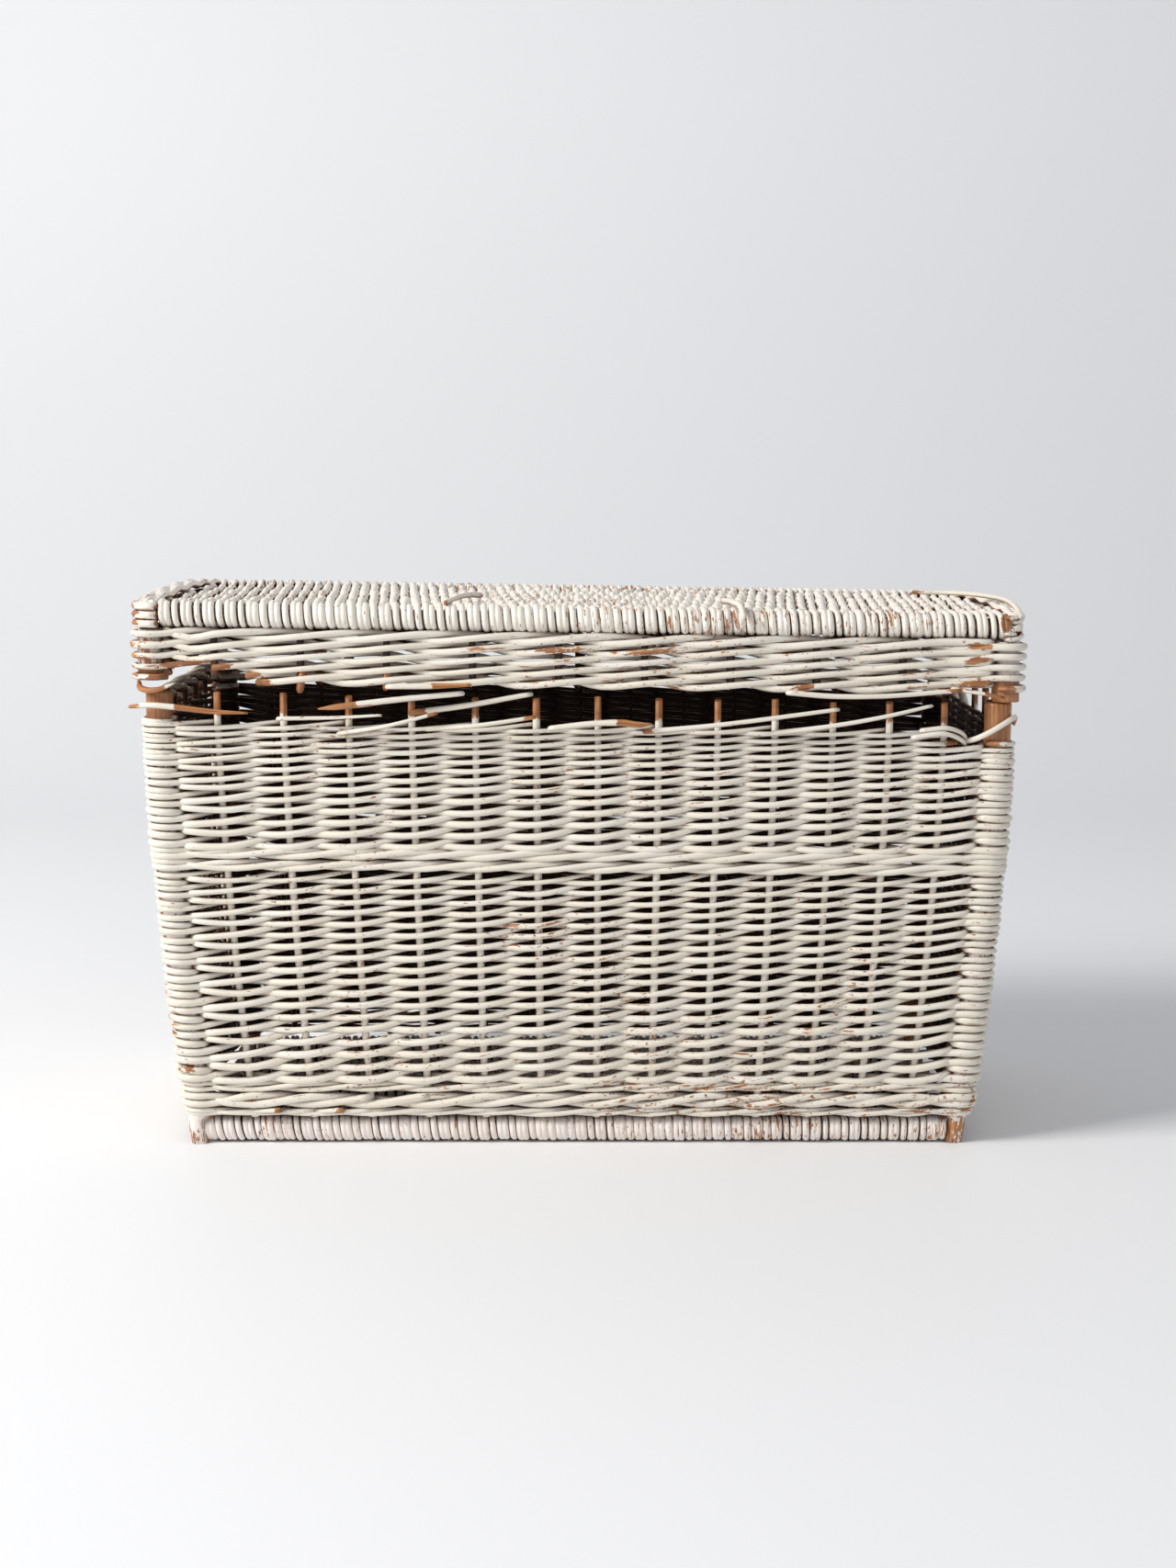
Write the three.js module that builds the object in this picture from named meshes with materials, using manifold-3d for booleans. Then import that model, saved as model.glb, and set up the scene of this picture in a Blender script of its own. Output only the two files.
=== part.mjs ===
// A square willow hamper with a deep lid, in millimetres, +Z up, the front facing -Y, the origin on the floor
// under the middle. Straight sticks carry the woven base and the lid's top, four corner posts and upright
// stakes carry the woven walls, and the lid turns on three willow loops along the back of the rim.
// Every piece is first laid out upright and square at its size at the rim. settle() then leans the walls in
// towards the base and racks the basket to one side, as it has settled with age.
import * as THREE from 'three';
import { mergeVertices } from 'three/addons/utils/BufferGeometryUtils.js';
import Module from 'manifold-3d';

const wasm = await Module();
wasm.setup();

// Clearance between two pieces that touch.
const GAP = 0.3;

// Plan sizes, over the outside of the weaving.
const RIM_WIDTH = 634;
const RIM_DEPTH = 326;
const LID_WIDTH = 643;
const LID_DEPTH = 333;
const BASE_WIDTH = 622;
const BASE_DEPTH = 320;
const WALL = 14;

// How far each wall leans in at the floor, how much it bows out on the way up, and how far the top's ends
// have gone up on the left and down on the right.
const LEAN = 25.7;
const BOW = 0.57;
const RACK = 5;

// Heights of the courses, from the floor up.
const BASE_TOP = 21;
const BOTTOM_WALE_TOP = 49;
const LOWER_SIDING_TOP = 208;
const MIDDLE_WALE_TOP = 225;
const UPPER_SIDING_TOP = 317;
const BORDER_HEIGHT = 19;
const LID_WALL_BOTTOM = 342;
const LID_WALL_TOP = 382;
const TOP = 403;
const WALL_LEVELS = [BASE_TOP, BOTTOM_WALE_TOP, LOWER_SIDING_TOP, MIDDLE_WALE_TOP, UPPER_SIDING_TOP];

// Corner posts: the body's stand on the floor on a narrowed foot, and the lid's are short.
const POST_RADIUS = 10;
const POST_FOOT_RADIUS = 6.5;
const POST_SIDES = 12;
const FOOT_CUT_SIZE = 60;
const FRONT_POST_TOP = 337;
const BACK_POST_TOP = 333;
const BACK_LID_POST_BOTTOM = 340;

// Stakes. The front ones stand a little off centre and closer together towards the right.
const STAKE_RADIUS = 2.75;
const STAKE_SIDES = 6;
const FRONT_STAKES = 13;
const FRONT_STAKE_MIDDLE = 14;
const FRONT_STAKE_REACH = 262;
const FRONT_STAKE_BUNCHING = 12.3;
const SIDE_STAKES = 5;
const BROKEN_RIGHT_STAKES = 3;
const STUB_TOP = 333;

// Border: it runs from behind the front left post round the back to the right side's last broken stake.
const BORDER_WIDTH = 17;
const BORDER_ROUNDING = 5;
const BORDER_TAPER = 4;
const BORDER_BOSS = 14.5;
const BORDER_LEFT_END = -130;
const BORDER_RIGHT_END = 24;

// Sticks of the base and of the lid's top.
const OUTER_STICK_RADIUS = 6;
const INNER_STICK_RADIUS = 4.25;
const INNER_STICKS = 5;
const STICK_SIDES = 10;
const EDGE_THICKNESS = 21;
const PANEL_THICKNESS = 14.5;

// Hinge: the lid's lowest back rod, and the loops round it and round the border.
const HINGE_Y = LID_DEPTH / 2 - WALL / 2;
const HINGE_Z = 348;
const HINGE_ROD_RADIUS = 3.5;
const HINGE_ROD_LENGTH = 430;
const LOOP_SPACING = 195;
const LOOP_WIDTH = 12;
const LOOP_THICKNESS = 3.2;
const LOOP_FOOT_Y = RIM_DEPTH / 2 - BORDER_WIDTH / 2;
const LOOP_FOOT_Z = 327.5;
const NOTCH_RADIUS = 14;
const NOTCH_WIDTH = LOOP_WIDTH + 2;
const NOTCH_SIDES = 20;

// How many straight steps a quarter turn of a wall's corner has, and a half turn of a loop.
const CORNER_STEPS = 4;
const LOOP_STEPS = 6;

const PAINT = { color: 0xdcd6c8, roughness: 0.72, metalness: 0 };
const WORN_PAINT = { color: 0xcfc3b4, roughness: 0.78, metalness: 0 };
const BARE_WILLOW = { color: 0x6b4630, roughness: 0.68, metalness: 0 };

const hamper = new THREE.Group();

/** Points along an arc round (x, y), from one angle to another in degrees. */
function arc(x, y, radius, start, end, steps) {
  return Array.from({ length: steps + 1 }, (_, i) => {
    const angle = THREE.MathUtils.degToRad(start + ((end - start) * i) / steps);
    return new THREE.Vector2(x + radius * Math.cos(angle), y + radius * Math.sin(angle));
  });
}

/** A closed round outline with a point every 360 / sides degrees. */
function circle(x, y, radius, sides) {
  return arc(x, y, radius, 0, 360, sides).slice(0, sides);
}

/** A shape from its outline and the outlines of its holes. */
function shapeOf(outline, holes = []) {
  const shape = new THREE.Shape(outline);
  shape.holes = holes.map((points) => new THREE.Path(points));
  return shape;
}

/** An upright prism with a ring of points at each height in levels. */
function upright(shape, levels) {
  const steps = levels.length - 1;
  const geometry = new THREE.ExtrudeGeometry(shape, { depth: steps, steps, bevelEnabled: false });
  const position = geometry.attributes.position;
  for (let i = 0; i < position.count; i += 1) {
    position.setZ(i, levels[Math.round(position.getZ(i))]);
  }
  return geometry;
}

/** A prism along X, centred on x, whose shape is drawn in the YZ plane. */
function lengthwise(shape, length, x = 0) {
  const geometry = new THREE.ExtrudeGeometry(shape, { depth: length, bevelEnabled: false });
  const across = new THREE.Vector3(0, 1, 0);
  const up = new THREE.Vector3(0, 0, 1);
  const along = new THREE.Vector3(1, 0, 0);
  geometry.applyMatrix4(new THREE.Matrix4().makeBasis(across, up, along));
  return geometry.translate(x - length / 2, 0, 0);
}

/** A round post on the Z axis, from pairs of radius and height, bottom to top. */
function turned(x, y, profile) {
  const ends = [[0, profile[0][1]], ...profile, [0, profile.at(-1)[1]]];
  const points = ends.map(([radius, height]) => new THREE.Vector2(radius, height));
  const geometry = new THREE.LatheGeometry(points, POST_SIDES);
  return geometry.rotateX(Math.PI / 2).translate(x, y, 0);
}

/** A three.js geometry as a solid for cutting. */
function solidOf(geometry) {
  const bare = geometry.clone();
  bare.deleteAttribute('normal');
  bare.deleteAttribute('uv');
  const merged = mergeVertices(bare, 1e-4);
  const vertProperties = new Float32Array(merged.attributes.position.array);
  const triVerts = new Uint32Array(merged.index.array);
  return new wasm.Manifold(new wasm.Mesh({ numProp: 3, vertProperties, triVerts }));
}

/** A three.js geometry with the other geometries cut out of it. */
function cut(geometry, tools) {
  const result = tools.reduce((solid, tool) => solid.subtract(solidOf(tool)), solidOf(geometry));
  const mesh = result.getMesh();
  const cutGeometry = new THREE.BufferGeometry();
  cutGeometry.setAttribute('position', new THREE.BufferAttribute(mesh.vertProperties, 3));
  cutGeometry.setIndex(new THREE.BufferAttribute(mesh.triVerts, 1));
  return cutGeometry;
}

/** Leans the walls in below the rim and racks everything above the base, in place. */
function settle(geometry) {
  const position = geometry.attributes.position;
  for (let i = 0; i < position.count; i += 1) {
    const x = position.getX(i);
    const y = position.getY(i);
    const z = position.getZ(i);
    const t = Math.min(z / UPPER_SIDING_TOP, 1);
    const inset = LEAN * (1 - t) * (1 - BOW * t);
    const rise = Math.max(z - BASE_TOP, 0) / (TOP - BASE_TOP);
    position.setXYZ(
      i,
      x * (1 - (2 * inset) / RIM_WIDTH),
      y * (1 - (2 * inset) / RIM_DEPTH),
      z - (RACK * rise * x) / (LID_WIDTH / 2),
    );
  }
  geometry.computeVertexNormals();
  return geometry;
}

/** Adds one settled piece to the hamper. */
function add(name, geometry, look) {
  const mesh = new THREE.Mesh(settle(geometry), new THREE.MeshStandardMaterial(look));
  mesh.name = name;
  hamper.add(mesh);
}

/** The four post centres of a frame of this width and depth, with a name for each. */
function corners(width, depth) {
  const x = width / 2 - WALL;
  const y = depth / 2 - WALL;
  return [
    { name: 'front_left', x: -x, y: -y },
    { name: 'front_right', x, y: -y },
    { name: 'back_left', x: -x, y },
    { name: 'back_right', x, y },
  ];
}

/** The outline of a rectangle with round corners, anticlockwise. */
function roundedRectangle(width, depth, radius) {
  const x = width / 2 - radius;
  const y = depth / 2 - radius;
  return [
    ...arc(x, y, radius, 0, 90, CORNER_STEPS),
    ...arc(-x, y, radius, 90, 180, CORNER_STEPS),
    ...arc(-x, -y, radius, 180, 270, CORNER_STEPS),
    ...arc(x, -y, radius, 270, 360, CORNER_STEPS),
  ];
}

/** A woven wall between two heights: round corners outside, a boss round each post inside, stake holes. */
function wallBetween(width, depth, stakes, bottom, top) {
  const x = width / 2 - WALL;
  const y = depth / 2 - WALL;
  const inside = [
    ...arc(x, y, WALL, 270, 180, CORNER_STEPS),
    ...arc(-x, y, WALL, 360, 270, CORNER_STEPS),
    ...arc(-x, -y, WALL, 90, 0, CORNER_STEPS),
    ...arc(x, -y, WALL, 180, 90, CORNER_STEPS),
  ];
  const posts = corners(width, depth).map((c) => circle(c.x, c.y, POST_RADIUS + GAP, POST_SIDES));
  const slots = stakes.map((s) => circle(s.x, s.y, STAKE_RADIUS + GAP, STAKE_SIDES));
  const through = [bottom - WALL, top + WALL];
  const tools = [inside, ...posts, ...slots].map((outline) => upright(shapeOf(outline), through));
  return cut(upright(shapeOf(roundedRectangle(width, depth, WALL)), [bottom, top]), tools);
}

/** The heights of a piece that stands in the walls, with a bend wherever one course ends. */
function levelsBetween(bottom, top) {
  return [bottom, ...WALL_LEVELS.filter((z) => z > bottom + 1 && z < top - 1), top];
}

/** The stakes that are pieces of their own: those of the front and of the two sides. */
function stakePlaces() {
  const front = Array.from({ length: FRONT_STAKES }, (_, i) => {
    const u = (2 * i) / (FRONT_STAKES - 1) - 1;
    const x = FRONT_STAKE_MIDDLE + FRONT_STAKE_REACH * u - FRONT_STAKE_BUNCHING * u * u;
    return { name: `stake_front_${i + 1}`, x, y: WALL / 2 - RIM_DEPTH / 2, top: STUB_TOP };
  });
  const spacing = (RIM_DEPTH - 2 * WALL) / (SIDE_STAKES + 1);
  const side = (label, x, broken) => Array.from({ length: SIDE_STAKES }, (_, i) => ({
    name: `stake_${label}_${i + 1}`,
    x,
    y: (i - (SIDE_STAKES - 1) / 2) * spacing,
    top: i < broken ? STUB_TOP : UPPER_SIDING_TOP - GAP,
  }));
  const sideX = RIM_WIDTH / 2 - WALL / 2;
  return [...front, ...side('left', -sideX, 0), ...side('right', sideX, BROKEN_RIGHT_STAKES)];
}

/** A woven panel on its sticks: thick wrapped edges at the front and back, thinner between them. */
function addPanel(name, look, width, depth, bottom, cutCorners) {
  const top = bottom + EDGE_THICKNESS;
  const edge = depth / 2;
  const low = bottom + (EDGE_THICKNESS - PANEL_THICKNESS) / 2;
  const high = low + PANEL_THICKNESS;
  const rounding = EDGE_THICKNESS / 3;
  const shoulder = edge - EDGE_THICKNESS;
  const frontHalf = [
    new THREE.Vector2(-shoulder, high),
    ...arc(-shoulder - rounding, top - rounding, rounding, 60, 90, 2),
    ...arc(-edge + rounding, top - rounding, rounding, 90, 180, 3),
    ...arc(-edge + rounding, bottom + rounding, rounding, 180, 270, 3),
    ...arc(-shoulder - rounding, bottom + rounding, rounding, 270, 300, 2),
    new THREE.Vector2(-shoulder, low),
  ];
  const middle = (low + high) / 2;
  const backHalf = frontHalf.map((p) => new THREE.Vector2(-p.x, 2 * middle - p.y));
  const outline = [...frontHalf, ...backHalf];
  const outerY = edge - EDGE_THICKNESS / 2;
  const spacing = (2 * outerY) / (INNER_STICKS + 1);
  const sticks = [
    { name: 'front', y: -outerY, radius: OUTER_STICK_RADIUS },
    ...Array.from({ length: INNER_STICKS }, (_, i) => ({
      name: `${i + 1}`,
      y: -outerY + (i + 1) * spacing,
      radius: INNER_STICK_RADIUS,
    })),
    { name: 'back', y: outerY, radius: OUTER_STICK_RADIUS },
  ];
  const holes = sticks.map((s) => circle(s.y, middle, s.radius + GAP, STICK_SIDES));
  const panel = lengthwise(shapeOf(outline, holes), width);
  add(`${name}_weave`, cutCorners.length ? cut(panel, cutCorners) : panel, look);
  sticks.forEach((s) => {
    const between = cutCorners.length && s.radius === OUTER_STICK_RADIUS;
    const length = between ? 2 * (RIM_WIDTH / 2 - WALL - POST_RADIUS) : width;
    const round = shapeOf(circle(s.y, middle, s.radius, STICK_SIDES));
    add(`${name}_stick_${s.name}`, lengthwise(round, length), BARE_WILLOW);
  });
}

/** The border from above: along the left side, the back and part of the right side. */
function borderShape() {
  const outerX = RIM_WIDTH / 2;
  const outerY = RIM_DEPTH / 2;
  const postX = outerX - WALL;
  const postY = outerY - WALL;
  const innerX = outerX - BORDER_WIDTH;
  const turn = THREE.MathUtils.radToDeg(Math.acos((BORDER_WIDTH - WALL) / BORDER_BOSS));
  const outline = [
    new THREE.Vector2(innerX, BORDER_RIGHT_END),
    new THREE.Vector2(outerX, BORDER_RIGHT_END),
    ...arc(postX, postY, WALL, 0, 90, CORNER_STEPS),
    ...arc(-postX, postY, WALL, 90, 180, CORNER_STEPS),
    new THREE.Vector2(-outerX, BORDER_LEFT_END),
    new THREE.Vector2(-innerX, BORDER_LEFT_END),
    ...arc(-postX, postY, BORDER_BOSS, 360 - turn, 270 + turn, CORNER_STEPS),
    ...arc(postX, postY, BORDER_BOSS, 270 - turn, 180 + turn, CORNER_STEPS),
  ];
  return shapeOf(outline);
}

/** A loop seen from the end: round the hinge rod at the top and through the border at the bottom. */
function loopShape(growth) {
  const lean = THREE.MathUtils.radToDeg(Math.atan2(HINGE_Y - LOOP_FOOT_Y, HINGE_Z - LOOP_FOOT_Z));
  const ring = (radius) => [
    ...arc(HINGE_Y, HINGE_Z, radius, -lean, 180 - lean, LOOP_STEPS),
    ...arc(LOOP_FOOT_Y, LOOP_FOOT_Z, radius, 180 - lean, 360 - lean, LOOP_STEPS),
  ];
  const inner = HINGE_ROD_RADIUS + GAP;
  return shapeOf(ring(inner + LOOP_THICKNESS + growth), [ring(inner - growth)]);
}

const stakes = stakePlaces();

// Base. Its corners are cut away round the posts' feet.
const footSpace = 2 * (POST_RADIUS + GAP);
const footCuts = corners(RIM_WIDTH, RIM_DEPTH).map((c) => {
  const out = (FOOT_CUT_SIZE - footSpace) / 2;
  return new THREE.BoxGeometry(FOOT_CUT_SIZE, FOOT_CUT_SIZE, 2 * FOOT_CUT_SIZE)
    .translate(c.x + Math.sign(c.x) * out, c.y + Math.sign(c.y) * out, 0);
});
addPanel('base', WORN_PAINT, BASE_WIDTH, BASE_DEPTH, 0, footCuts);

// Corner posts of the body.
corners(RIM_WIDTH, RIM_DEPTH).forEach((c) => {
  const top = c.y < 0 ? FRONT_POST_TOP : BACK_POST_TOP;
  const profile = [
    [POST_FOOT_RADIUS, 0],
    [POST_FOOT_RADIUS, BASE_TOP - GAP],
    ...levelsBetween(BASE_TOP, top).map((z) => [POST_RADIUS, z]),
  ];
  add(`corner_post_${c.name}`, turned(c.x, c.y, profile), BARE_WILLOW);
});

// Stakes.
stakes.forEach((s) => {
  const round = shapeOf(circle(s.x, s.y, STAKE_RADIUS, STAKE_SIDES));
  add(s.name, upright(round, levelsBetween(BASE_TOP + GAP, s.top)), BARE_WILLOW);
});

// Woven courses of the walls.
const courses = [
  { name: 'bottom_wale', bottom: BASE_TOP, top: BOTTOM_WALE_TOP },
  { name: 'lower_siding', bottom: BOTTOM_WALE_TOP, top: LOWER_SIDING_TOP },
  { name: 'middle_wale', bottom: LOWER_SIDING_TOP, top: MIDDLE_WALE_TOP },
  { name: 'upper_siding', bottom: MIDDLE_WALE_TOP, top: UPPER_SIDING_TOP },
];
courses.forEach(({ name, bottom, top }) => {
  add(name, wallBetween(RIM_WIDTH, RIM_DEPTH, stakes, bottom + GAP, top), PAINT);
});

// Hinge loops, and the border with a seat for each.
const loopPlaces = [
  { name: 'left', x: -LOOP_SPACING },
  { name: 'middle', x: 0 },
  { name: 'right', x: LOOP_SPACING },
];
loopPlaces.forEach(({ name, x }) => {
  add(`hinge_loop_${name}`, lengthwise(loopShape(0), LOOP_WIDTH, x), PAINT);
});
const borderBlock = new THREE.ExtrudeGeometry(borderShape(), {
  depth: BORDER_HEIGHT - 2 * BORDER_ROUNDING,
  bevelThickness: BORDER_ROUNDING,
  bevelSize: BORDER_TAPER,
  bevelOffset: -BORDER_TAPER,
  bevelSegments: 2,
}).translate(0, 0, UPPER_SIDING_TOP + GAP + BORDER_ROUNDING);
const loopSeats = loopPlaces.map(({ x }) => lengthwise(loopShape(GAP), LOOP_WIDTH + 2 * GAP, x));
const postSeats = corners(RIM_WIDTH, RIM_DEPTH).map((c) => (
  upright(shapeOf(circle(c.x, c.y, POST_RADIUS + GAP, POST_SIDES)), [BASE_TOP, LID_WALL_BOTTOM])
));
add('border', cut(borderBlock, [...loopSeats, ...postSeats]), PAINT);

// Lid: its top, its corner posts, its wall with a notch round each loop, and the rod that it hangs on.
addPanel('lid', PAINT, LID_WIDTH, LID_DEPTH, LID_WALL_TOP, []);
corners(LID_WIDTH, LID_DEPTH).forEach((c) => {
  const bottom = c.y < 0 ? FRONT_POST_TOP + GAP : BACK_LID_POST_BOTTOM;
  const profile = [[POST_RADIUS, bottom], [POST_RADIUS, LID_WALL_TOP - GAP]];
  add(`lid_post_${c.name}`, turned(c.x, c.y, profile), BARE_WILLOW);
});
const notches = loopPlaces.map(({ x }) => (
  lengthwise(shapeOf(circle(HINGE_Y, HINGE_Z, NOTCH_RADIUS, NOTCH_SIDES)), NOTCH_WIDTH, x)
));
const rodSeat = lengthwise(
  shapeOf(circle(HINGE_Y, HINGE_Z, HINGE_ROD_RADIUS + GAP, STICK_SIDES)),
  HINGE_ROD_LENGTH + 2 * GAP,
);
const lidWall = wallBetween(LID_WIDTH, LID_DEPTH, [], LID_WALL_BOTTOM, LID_WALL_TOP - GAP);
add('lid_wale', cut(lidWall, [...notches, rodSeat]), PAINT);
const hingeRod = shapeOf(circle(HINGE_Y, HINGE_Z, HINGE_ROD_RADIUS, STICK_SIDES));
add('lid_hinge_rod', lengthwise(hingeRod, HINGE_ROD_LENGTH), PAINT);

export default hamper;
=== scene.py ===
"""Looks of a painted willow hamper: every rod of its weaving is a round rod of its own.

Lengths are in millimetres until a mesh is built. Rods are laid out round an upright basket that is as wide
all the way down as at its rim, and settle() then leans the walls in and racks them.
"""

import math

import bpy
import numpy as np
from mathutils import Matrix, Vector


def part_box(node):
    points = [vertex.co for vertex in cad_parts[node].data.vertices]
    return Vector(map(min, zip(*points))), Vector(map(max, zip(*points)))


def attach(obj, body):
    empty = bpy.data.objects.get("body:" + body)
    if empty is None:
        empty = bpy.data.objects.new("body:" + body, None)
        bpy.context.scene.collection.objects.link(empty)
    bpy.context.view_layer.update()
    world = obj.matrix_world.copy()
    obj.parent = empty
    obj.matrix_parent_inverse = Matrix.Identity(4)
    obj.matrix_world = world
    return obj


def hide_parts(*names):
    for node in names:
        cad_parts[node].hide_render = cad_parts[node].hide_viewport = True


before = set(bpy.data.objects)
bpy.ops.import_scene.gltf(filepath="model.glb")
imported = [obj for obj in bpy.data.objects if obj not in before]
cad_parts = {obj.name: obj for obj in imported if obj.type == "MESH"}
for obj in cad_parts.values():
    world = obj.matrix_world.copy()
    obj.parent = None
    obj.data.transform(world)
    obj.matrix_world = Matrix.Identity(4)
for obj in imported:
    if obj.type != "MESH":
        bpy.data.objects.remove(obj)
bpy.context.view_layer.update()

MM = 0.001

# Half the width and half the depth of the body's and the lid's walls, from the frame.
RIM = np.array(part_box("upper_siding")[1][:2]) / MM
LID = np.array(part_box("lid_wale")[1][:2]) / MM
BASE_HALF_DEPTH = 160.0
WALL = 14.0
HALF_WALL = WALL / 2

# How far the walls lean in at the floor, how bowed they are, and how far the lid's ends are racked.
LEAN = 25.7
BOW = 0.57
RACK = 5.0

# Heights of the courses.
BASE_MIDDLE = 10.5
BASE_TOP = 21.0
BOTTOM_WALE_TOP = 49.0
LOWER_TOP = 208.0
MIDDLE_WALE_TOP = 225.0
RIM_TOP = 317.0
STUB_TOP = 336.0
LID_BOTTOM = 343.5
LID_WALL_TOP = 382.0
LID_MIDDLE = 392.5
TOP = 403.0

# Stakes, posts and sticks. The front's stakes stand a little closer to each other towards the right.
PLACES = 40
FRONT_STAKE_MIDDLE = 14.0
STAKE_REACH = 262.0
STAKE_BUNCHING = 12.3
STAKE_RADIUS = 2.75
POST_RADIUS = 10.0
FOOT_RADIUS = 6.5
OUTER_STICK = 5.4
INNER_STICK = 4.25
INNER_STICKS = 5
STICK_INSET = 10.5
FRONT_RIGHT = 14

# The hinge's line, its rod and loops, and the notches that leave room for them in the lid's wall.
HINGE_Y = LID[1] - HALF_WALL
HINGE_Z = 348.0
HINGE_ROD_RADIUS = 3.5
HINGE_ROD_HALF = 215.0
LOOP_PLACES = np.array([-195.0, 0.0, 195.0])
LOOP_FOOT = (RIM[1] - 8.5, 327.5)
LOOP_RADIUS = 1.75
LOOP_CLEARANCE = 0.3
LOOP_TURNS = 3
LOOP_HALF_WIDTH = 3.9
NOTCH_RADIUS = 14.5
NOTCH_HALF = 8.0

# The length of torn, bare rod at a break, and the length over which the paint ends.
TORN = 7.0
TORN_FADE = 5.0

UP = np.array([0.0, 0.0, 1.0])
random = np.random.default_rng(63)


# --- geometry helpers


def settle(points):
    """Leans in and racks points in millimetres."""
    x, y, z = points[..., 0], points[..., 1], points[..., 2]
    t = np.clip(z / RIM_TOP, 0, 1)
    inset = LEAN * (1 - t) * (1 - BOW * t)
    rise = np.clip(z - BASE_TOP, 0, None) / (TOP - BASE_TOP)
    return np.stack(
        [x * (1 - inset / RIM[0]), y * (1 - inset / RIM[1]), z - RACK * rise * x / LID[0]],
        axis=-1,
    )


def depth_and_out(points, half):
    """How far each point is outside the wall's outer face (inside is negative), and the way out there."""
    corner = np.abs(points[:, :2]) - (half - WALL)
    sign = np.where(points[:, :2] < 0, -1.0, 1.0)
    beyond = np.clip(corner, 0, None)
    length = np.hypot(beyond[:, 0], beyond[:, 1])
    in_corner = (corner > 0).all(1)
    on_x = corner[:, 0] > corner[:, 1]
    depth = np.where(in_corner, length, corner.max(1)) - WALL
    out = np.where(in_corner[:, None], beyond / np.maximum(length, 1e-6)[:, None], 0.0)
    out[~in_corner & on_x, 0] = 1.0
    out[~in_corner & ~on_x, 1] = 1.0
    return depth, np.column_stack([out * sign, np.zeros(len(points))])


def smooth_path(points, values, step):
    """A smooth curve through the points, sampled about every step, and values carried along with it."""
    points = np.asarray(points, float)
    values = np.asarray(values, float).reshape(len(points), -1)
    gaps = np.diff(points, axis=0)
    lengths = np.maximum(np.linalg.norm(gaps, axis=1), 1e-6)
    slopes = gaps / lengths[:, None]
    inner = slopes[:-1] * lengths[1:, None] + slopes[1:] * lengths[:-1, None]
    inner /= (lengths[:-1] + lengths[1:])[:, None]
    tangents = np.vstack([slopes[:1], inner, slopes[-1:]])
    out_points, out_values = [], []
    for i, length in enumerate(lengths):
        count = max(1, int(round(length / step)))
        t = (np.arange(count) / count)[:, None]
        a, b = points[i], points[i + 1]
        out_points.append(
            (2 * t**3 - 3 * t**2 + 1) * a
            + (t**3 - 2 * t**2 + t) * length * tangents[i]
            + (3 * t**2 - 2 * t**3) * b
            + (t**3 - t**2) * length * tangents[i + 1]
        )
        out_values.append(values[i] + (values[i + 1] - values[i]) * t)
    return np.vstack(out_points + [points[-1:]]), np.vstack(out_values + [values[-1:]])


def carried_normals(tangent):
    """A direction across the rod at each sample, carried along it without twisting."""
    across = np.empty_like(tangent)
    current = np.array([1.0, 0, 0]) if abs(tangent[0, 2]) > 0.7 else UP
    for i, t in enumerate(tangent):
        current = current - t * (current @ t)
        current /= max(np.linalg.norm(current), 1e-9)
        across[i] = current
    return across


# How deep into the wall, and how far round the rods' backs, paint reached, and over how much it fades out.
PAINT_DEPTH, PAINT_DEPTH_FADE = 12.5, 2.5
PAINT_TURN, PAINT_TURN_FADE = 0.6, 0.35

# How far round the rods' backs they stay clean and lit, how clean and lit the wall's face is, the depth that
# takes 1 from that, and the least that is left. Below 1, crevices take dirt and painted shade.
CLEAN_LIT_TURN = 0.25
CLEAN_LIT_AT_FACE = 1.15
CLEAN_LIT_DEPTH = 13
LEAST_CLEAN_LIT = 0.2


def painted(depth, facing):
    """How well a point is painted: paint reached what faces out, and nearly through the wall."""
    reached = np.clip((depth + PAINT_DEPTH) / PAINT_DEPTH_FADE, 0, 1)
    turned = np.clip((facing + PAINT_TURN) / PAINT_TURN_FADE, 0, 1)
    return reached * turned


def clean_and_lit(depth, facing):
    """From 1 on the rods' fronts to 0 in the crevices between and behind them, for dirt and painted shade."""
    turned = np.clip((facing + CLEAN_LIT_TURN) / (1 - CLEAN_LIT_TURN), 0, 1)
    return turned * np.clip(CLEAN_LIT_AT_FACE + depth / CLEAN_LIT_DEPTH, LEAST_CLEAN_LIT, 1)


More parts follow.
